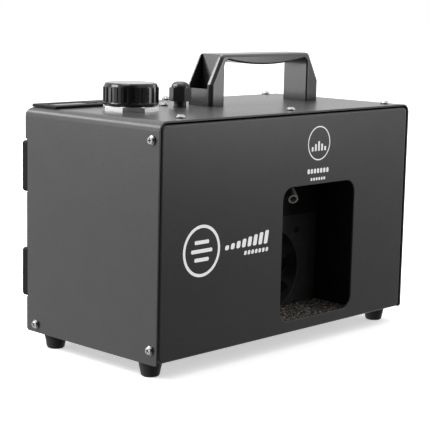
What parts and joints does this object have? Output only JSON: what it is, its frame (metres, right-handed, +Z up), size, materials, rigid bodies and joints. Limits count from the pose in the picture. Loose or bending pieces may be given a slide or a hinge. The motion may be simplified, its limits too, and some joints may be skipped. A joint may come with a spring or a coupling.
{
  "type": "compact haze machine",
  "caption": "Compact theatrical haze machine: sheet metal case with outlet chamber, screw-capped fluid tank, vent, carry handle, fan, pump and heater.",
  "frame": {"origin": "bottom centre of the whole machine, on the ground under its feet", "axes": "+X runs to the right along the long front face, -Y is the front face with the outlet, +Z is up"},
  "size_m": [0.34, 0.1746, 0.2608],
  "materials": {
    "powder_coat": "fine textured charcoal powder coat, satin",
    "moulded_plastic": "fine textured moulded plastic",
    "black_rubber": "moulded rubber, matt",
    "bright_steel": "bright zinc or nickel plate",
    "nut_metal": "plated, bright",
    "gloss_black": "polished moulded plastic",
    "satin_black_plastic": "satin moulded plastic",
    "display_glass": "tinted, polished",
    "button_plastic": "satin moulded plastic",
    "circuit_board": "solder mask, satin",
    "tank_plastic": "natural polyethylene, waxy",
    "inner_sheet": "matt black paint",
    "nozzle_steel": "turned stainless steel",
    "heater_alloy": "as machined",
    "insulation": "woven glass fibre",
    "drip_foam": "open-cell foam",
    "hose_silicone": "translucent silicone",
    "pump_body": "zinc plated steel",
    "socket_metal": "nickel plated die casting"
  },
  "bodies": {
    "case": {"board_standoffs": "bright_steel", "carry_handle": "moulded_plastic", "chassis_pan": "powder_coat", "control_bezel": "satin_black_plastic", "control_board": "circuit_board", "cover_shell": "powder_coat", "display_module": "circuit_board", "display_window": "display_glass", "dmx_input": "socket_metal", "dmx_output": "socket_metal", "drip_foam": "drip_foam", "fan_frame": "satin_black_plastic", "fan_guard": "bright_steel", "fan_plate": "inner_sheet", "fan_screws": "bright_steel", "fluid_tank": "tank_plastic", "foot_screws": "bright_steel", "front_left_foot": "black_rubber", "front_right_foot": "black_rubber", "handle_nuts": "bright_steel", "handle_screws": "bright_steel", "heater_block": "heater_alloy", "heater_bracket": "inner_sheet", "heater_insulation": "insulation", "left_lower_bumper": "black_rubber", "left_upper_bumper": "black_rubber", "outlet_hood": "inner_sheet", "outlet_nozzle": "nozzle_steel", "power_board": "circuit_board", "power_inlet": "satin_black_plastic", "power_switch": "satin_black_plastic", "pressure_hose": "hose_silicone", "pump_bracket": "inner_sheet", "pump_housing": "pump_body", "rear_left_foot": "black_rubber", "rear_right_foot": "black_rubber", "right_lower_bumper": "black_rubber", "right_upper_bumper": "black_rubber", "side_screws": "bright_steel", "socket_screws": "bright_steel", "suction_hose": "hose_silicone", "tank_gasket": "black_rubber", "tank_nut": "nut_metal", "tank_shelf": "inner_sheet", "thermostat": "satin_black_plastic", "top_screws": "bright_steel", "vent_body": "gloss_black", "vent_dome_nut": "gloss_black"},
    "cap": {"fill_cap": "gloss_black"},
    "cap_seal": {"cap_liner": "black_rubber"},
    "menu_key": {"menu_button": "button_plastic"},
    "up_key": {"up_button": "button_plastic"},
    "down_key": {"down_button": "button_plastic"},
    "enter_key": {"enter_button": "button_plastic"},
    "rocker": {"power_rocker": "satin_black_plastic"},
    "drawer": {"fuse_drawer": "satin_black_plastic"},
    "rotor": {"fan_rotor": "satin_black_plastic"},
    "latch": {"dmx_latch": "socket_metal"},
    "piston": {"pump_piston": "heater_alloy"}
  },
  "joints": [
    {"name": "cap_lift", "type": "slide", "parent": "case", "child": "cap_seal", "axis": [0, 0, 1], "range_m": [0, 0.008]},
    {"name": "cap_turn", "type": "hinge", "parent": "cap_seal", "child": "cap", "pos_m": [-0.112, 0.0058, 0.214], "axis": [0, 0, 1], "range_deg": [0, 720]},
    {"name": "rotor_spin", "type": "hinge", "parent": "case", "child": "rotor", "pos_m": [0.036, -0.0195, 0.058], "axis": [0, 1, 0], "continuous": true},
    {"name": "rocker_tilt", "type": "hinge", "parent": "case", "child": "rocker", "pos_m": [-0.128, 0.08, 0.108], "axis": [1, 0, 0], "range_deg": [0, 16]},
    {"name": "drawer_slide", "type": "slide", "parent": "case", "child": "drawer", "axis": [0, 1, 0], "range_m": [0, 0.018]},
    {"name": "latch_press", "type": "slide", "parent": "case", "child": "latch", "axis": [0, -1, 0], "range_m": [0, 0.0015], "stiffness_N_per_m": 800},
    {"name": "piston_stroke", "type": "slide", "parent": "case", "child": "piston", "axis": [1, 0, 0], "range_m": [0, 0.003], "stiffness_N_per_m": 400},
    {"name": "menu_press", "type": "slide", "parent": "case", "child": "menu_key", "axis": [0, 0, -1], "range_m": [0, 0.0006], "stiffness_N_per_m": 1500},
    {"name": "up_press", "type": "slide", "parent": "case", "child": "up_key", "axis": [0, 0, -1], "range_m": [0, 0.0006], "stiffness_N_per_m": 1500},
    {"name": "down_press", "type": "slide", "parent": "case", "child": "down_key", "axis": [0, 0, -1], "range_m": [0, 0.0006], "stiffness_N_per_m": 1500},
    {"name": "enter_press", "type": "slide", "parent": "case", "child": "enter_key", "axis": [0, 0, -1], "range_m": [0, 0.0006], "stiffness_N_per_m": 1500}
  ],
  "couplings": [
    {"joint": "cap_lift", "follows": "cap_turn", "m_per_rad": 0.00063662}
  ]
}
